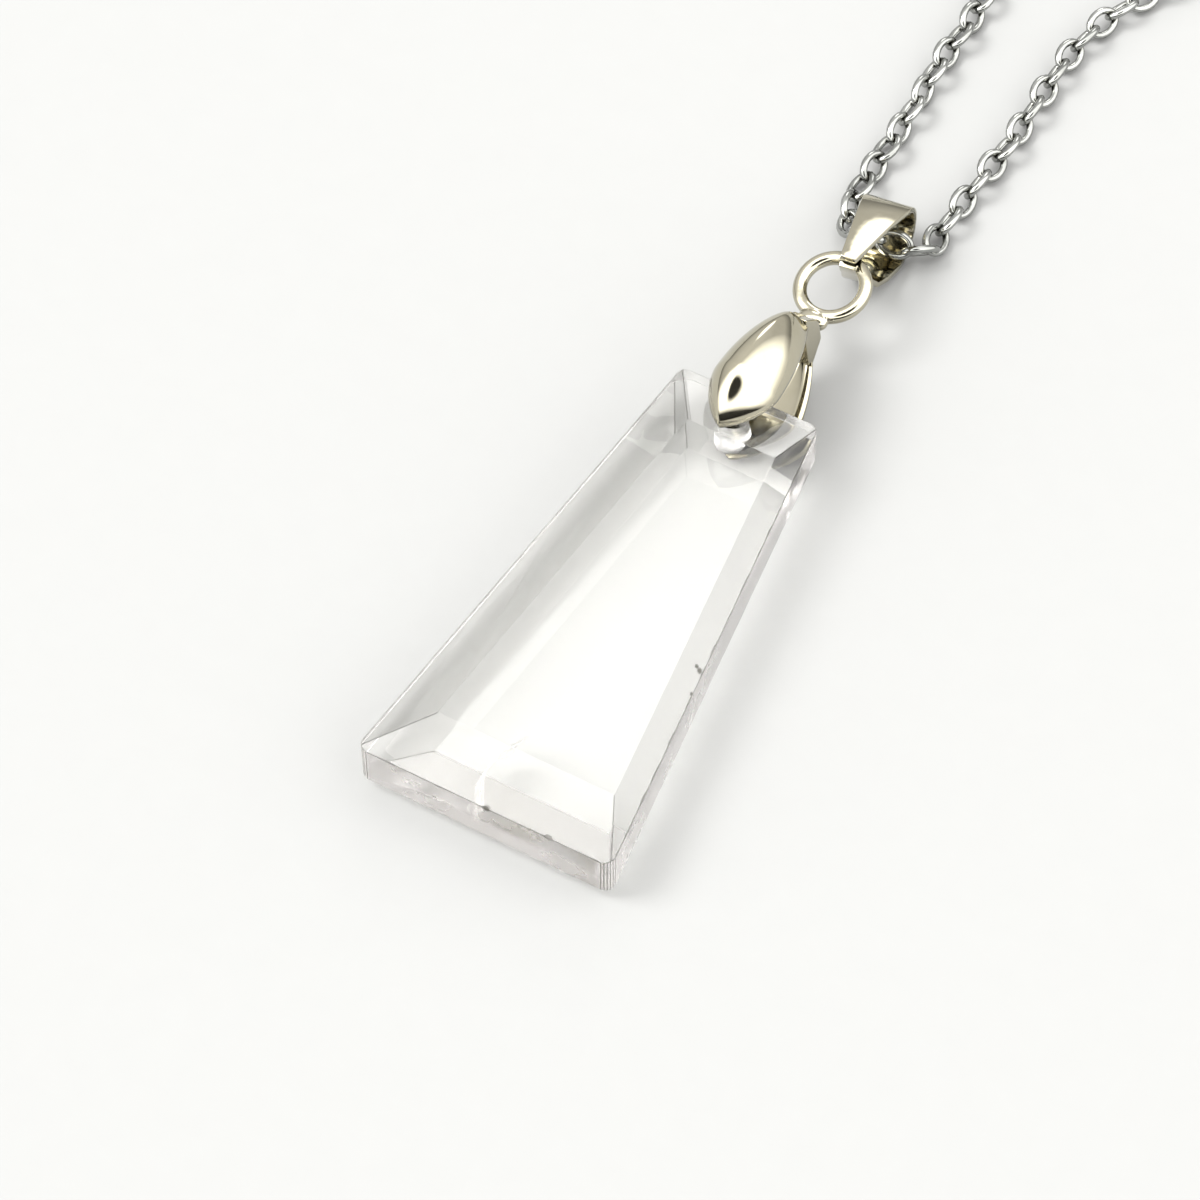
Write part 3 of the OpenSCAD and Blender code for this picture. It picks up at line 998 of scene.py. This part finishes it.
tent = bpy.data.worlds.new("light_tent")
scene.world = tent
tent.use_nodes = True
sky = tent.node_tree
sky.nodes.clear()
looking = sky.nodes.new("ShaderNodeTexCoord").outputs["Generated"]


def combine(operation, first, second):
    """One step of arithmetic on the tent's brightness."""
    node = sky.nodes.new("ShaderNodeMath")
    node.operation = operation
    for socket, value in zip(node.inputs, (first, second)):
        if isinstance(value, (int, float)):
            socket.default_value = value
        else:
            sky.links.new(value, socket)
    return node.outputs["Value"]


def toward(aim):
    """How nearly a direction points at the aim, as the cosine of the angle between them."""
    node = sky.nodes.new("ShaderNodeVectorMath")
    node.operation = "DOT_PRODUCT"
    node.inputs[1].default_value = aim
    sky.links.new(looking, node.inputs[0])
    return node.outputs["Value"]


def patch(azimuth, elevation, radius, softness):
    """A round patch of the tent: 1 inside its radius, 0 outside, soft between; all in degrees."""
    aim = direction(math.radians(azimuth), math.radians(elevation))
    inner = math.cos(math.radians(max(radius - softness / 2, 0)))
    outer = math.cos(math.radians(radius + softness / 2))
    return remap(sky, toward(aim), outer, inner, 0, 1)


def below(elevation, softness):
    """1 under an elevation in degrees, 0 over it, soft between."""
    low = math.sin(math.radians(elevation - softness / 2))
    high = math.sin(math.radians(elevation + softness / 2))
    return remap(sky, toward(Vector((0, 0, 1))), low, high, 1, 0)


# What shines adds to the walls' light, and then what is dark takes its part of the sum away
wall_light = 0.85
cloth = (patch(36, 6, 106, 12), 2.3)
ceiling = (patch(-120, 70, 30, 60), 0.4)
window = (patch(-60, 52, 12, 6), 20)
card = (patch(-163, 29, 11, 3), 3)
room = (patch(18, -50, 75, 8), 0.98)
horizon = (below(7, 10), 0.6)
lens = (patch(32, 58, 19, 7), 0.98)
brightness = wall_light
for shape, strength in (cloth, ceiling, window, card):
    brightness = combine("ADD", combine("MULTIPLY", shape, strength), brightness)
for shape, strength in (room, horizon, lens):
    left_over = combine("SUBTRACT", 1, combine("MULTIPLY", shape, strength))
    brightness = combine("MULTIPLY", brightness, left_over)
glow = sky.nodes.new("ShaderNodeBackground")
glow.inputs["Color"].default_value = (1, 0.99, 0.97, 1)
sky.links.new(brightness, glow.inputs["Strength"])
backdrop = sky.nodes.new("ShaderNodeBackground")
backdrop.inputs["Color"].default_value = (1, 1, 0.975, 1)
seen = sky.nodes.new("ShaderNodeLightPath")
either = sky.nodes.new("ShaderNodeMixShader")
result = sky.nodes.new("ShaderNodeOutputWorld")
sky.links.new(seen.outputs["Is Camera Ray"], either.inputs["Fac"])
sky.links.new(glow.outputs["Background"], either.inputs[1])
sky.links.new(backdrop.outputs["Background"], either.inputs[2])
sky.links.new(either.outputs["Shader"], result.inputs["Surface"])
scene.view_settings.view_transform = "Standard"
scene.cycles.max_bounces = 32
scene.cycles.glossy_bounces = 24
scene.cycles.transmission_bounces = 24

low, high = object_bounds()
